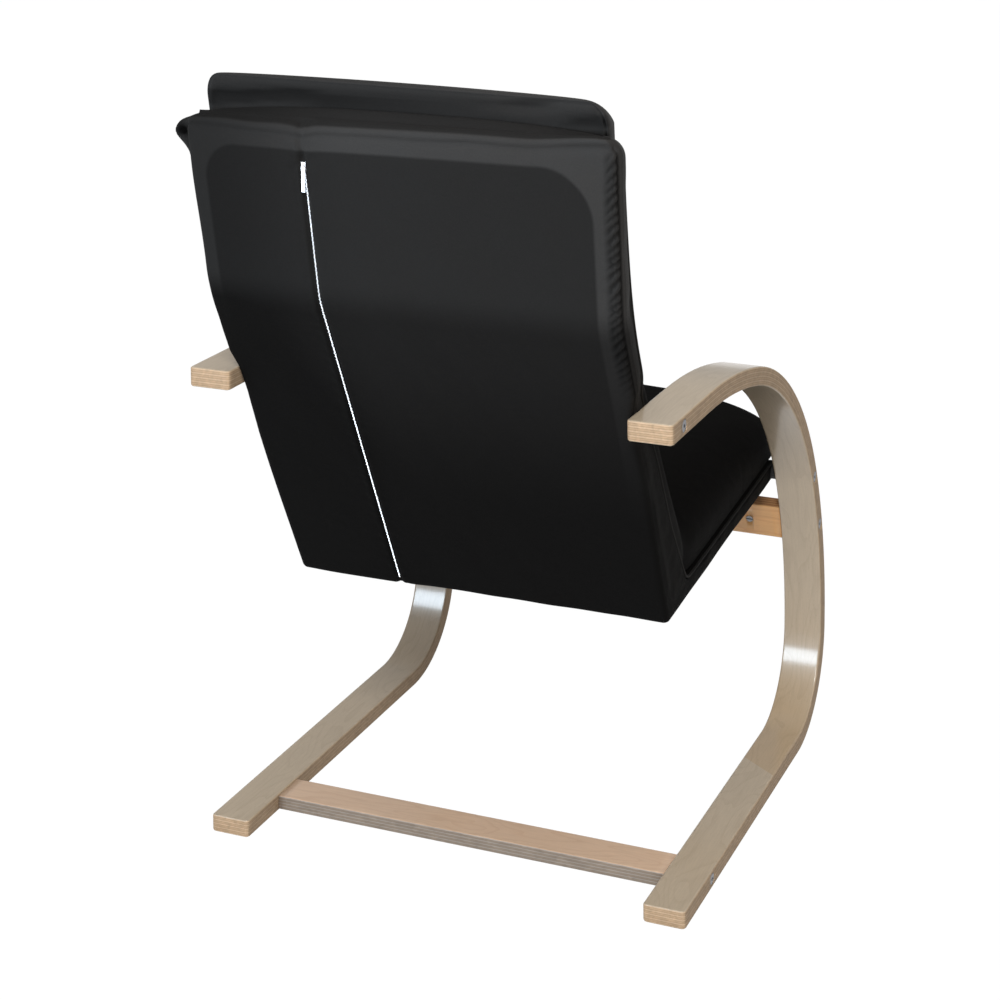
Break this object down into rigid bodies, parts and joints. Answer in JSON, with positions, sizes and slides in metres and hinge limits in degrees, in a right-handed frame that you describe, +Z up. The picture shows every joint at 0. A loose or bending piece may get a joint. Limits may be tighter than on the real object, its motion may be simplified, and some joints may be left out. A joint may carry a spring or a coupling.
{
  "type": "lounge chair",
  "caption": "Bentwood lounge chair: C-shaped birch plywood side frames carry a black padded seat and high angled back that yields rearwards, with a zipped rear cover.",
  "frame": {"origin": "middle of the chair's footprint on the floor, under the centre of its bounding box", "axes": "+Z up; the sitter faces -Y; +X is the sitter's left"},
  "size_m": [0.6458, 0.7542, 0.9955],
  "materials": {
    "frame_birch": "bent birch plywood in pale greyish beige under clear satin lacquer, thin veneers showing on its edges",
    "floor_rail_birch": "flat birch plywood under clear satin lacquer, a little pinker than the frames",
    "front_rail_birch": "orange-toned birch plywood under clear satin lacquer",
    "inner_wood": "plain unlacquered hardwood, hidden in the sleeve",
    "dark_steel": "dark zinc-plated steel bolt with hexagon socket",
    "zinc_steel": "dull zinc-plated steel",
    "nylon": "black nylon",
    "sleeve_cotton": "black plain-woven cotton, slightly puckered at its seams",
    "cushion_cotton": "black plain-woven cotton over foam, piped edges",
    "webbing": "dark woven elastic webbing",
    "zip_chain": "pale woven zip tape with fine light grey teeth",
    "zip_metal": "nickel-plated zip slider and pull"
  },
  "bodies": {
    "base": {"left_runner": "frame_birch", "right_runner": "frame_birch", "floor_rail": "floor_rail_birch", "left_floor_nut": "zinc_steel", "left_floor_bolt": "dark_steel", "right_floor_nut": "zinc_steel", "right_floor_bolt": "dark_steel"},
    "seat_unit": {"left_upright_arm": "frame_birch", "right_upright_arm": "frame_birch", "front_rail": "front_rail_birch", "left_front_nut": "zinc_steel", "left_front_bolt": "dark_steel", "right_front_nut": "zinc_steel", "right_front_bolt": "dark_steel", "cover_sleeve": "sleeve_cotton", "left_side_rail": "inner_wood", "right_side_rail": "inner_wood", "left_seat_bolt": "dark_steel", "left_seat_insert": "zinc_steel", "left_arm_bolt": "dark_steel", "left_arm_insert": "zinc_steel", "left_seat_spacer": "nylon", "right_seat_bolt": "dark_steel", "right_seat_insert": "zinc_steel", "right_arm_bolt": "dark_steel", "right_arm_insert": "zinc_steel", "right_seat_spacer": "nylon", "top_cross_rail": "inner_wood", "lumbar_cross_rail": "inner_wood", "corner_cross_rail": "inner_wood", "seat_front_cross_rail": "inner_wood", "back_strap_1": "webbing", "back_strap_2": "webbing", "back_strap_3": "webbing", "back_strap_4": "webbing", "back_strap_5": "webbing", "seat_strap_1": "webbing", "seat_strap_2": "webbing", "seat_strap_3": "webbing", "seat_strap_4": "webbing", "front_cushion": "cushion_cotton", "zip_tape": "zip_chain"},
    "zip_slider": {"zip_slider": "zip_metal"},
    "zip_pull": {"zip_pull": "zip_metal"}
  },
  "joints": [
    {"name": "frame_flex", "type": "hinge", "parent": "base", "child": "seat_unit", "pos_m": [0, -0.31914, 0.05798], "axis": [-1, 0, 0], "range_deg": [0, 4], "stiffness_Nm_per_rad": 1200, "springref_deg": -2.86},
    {"name": "zip_slide", "type": "slide", "parent": "seat_unit", "child": "zip_slider", "axis": [0, -0.1668, -0.986], "range_m": [0, 0.135]},
    {"name": "zip_pull_swing", "type": "hinge", "parent": "zip_slider", "child": "zip_pull", "pos_m": [0.108, 0.37236, 0.90137], "axis": [1, 0, 0], "range_deg": [-8, 120]}
  ]
}
